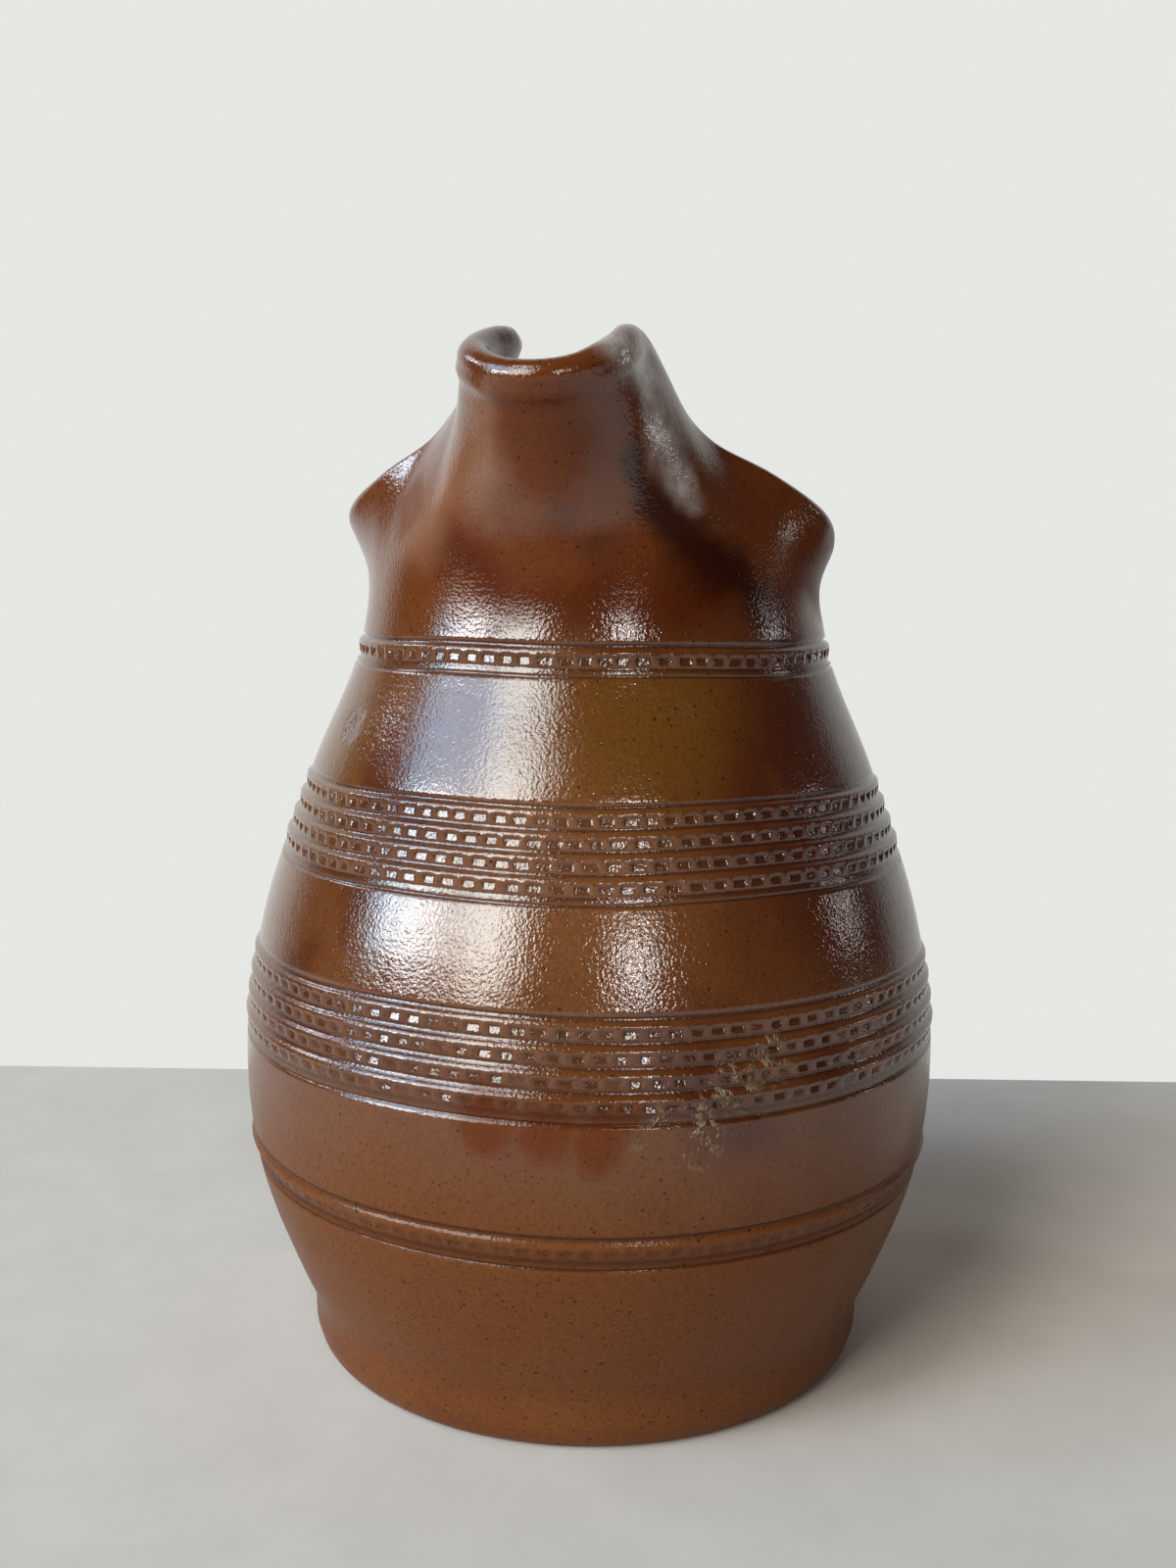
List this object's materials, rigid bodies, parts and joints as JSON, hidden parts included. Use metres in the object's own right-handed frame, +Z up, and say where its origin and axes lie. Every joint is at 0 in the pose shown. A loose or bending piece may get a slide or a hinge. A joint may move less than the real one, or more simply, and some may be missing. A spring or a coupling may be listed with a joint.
{
  "type": "stoneware pitcher",
  "caption": "Brown salt-glazed stoneware pitcher with a full belly, rouletted bands, a pinched pouring spout drawn up from the collar, and a pulled strap handle at the back.",
  "frame": {"origin": "centre of the flat base that the pitcher stands on", "axes": "+Z up along the wheel axis, -Y towards the pouring spout, +Y towards the handle"},
  "size_m": [0.1626, 0.1894, 0.2317],
  "materials": {
    "body_glaze": "brown salt glaze, glossy on the shoulder and drier towards the foot, with dark iron specks",
    "handle_glaze": "brown salt glaze, glossy, with dark iron specks",
    "luting_glaze": "brown salt glaze over finger-worked clay"
  },
  "bodies": {
    "root": {"thrown_body": "body_glaze", "strap_handle": "handle_glaze", "upper_luting": "luting_glaze", "lower_luting": "luting_glaze"}
  },
  "joints": []
}
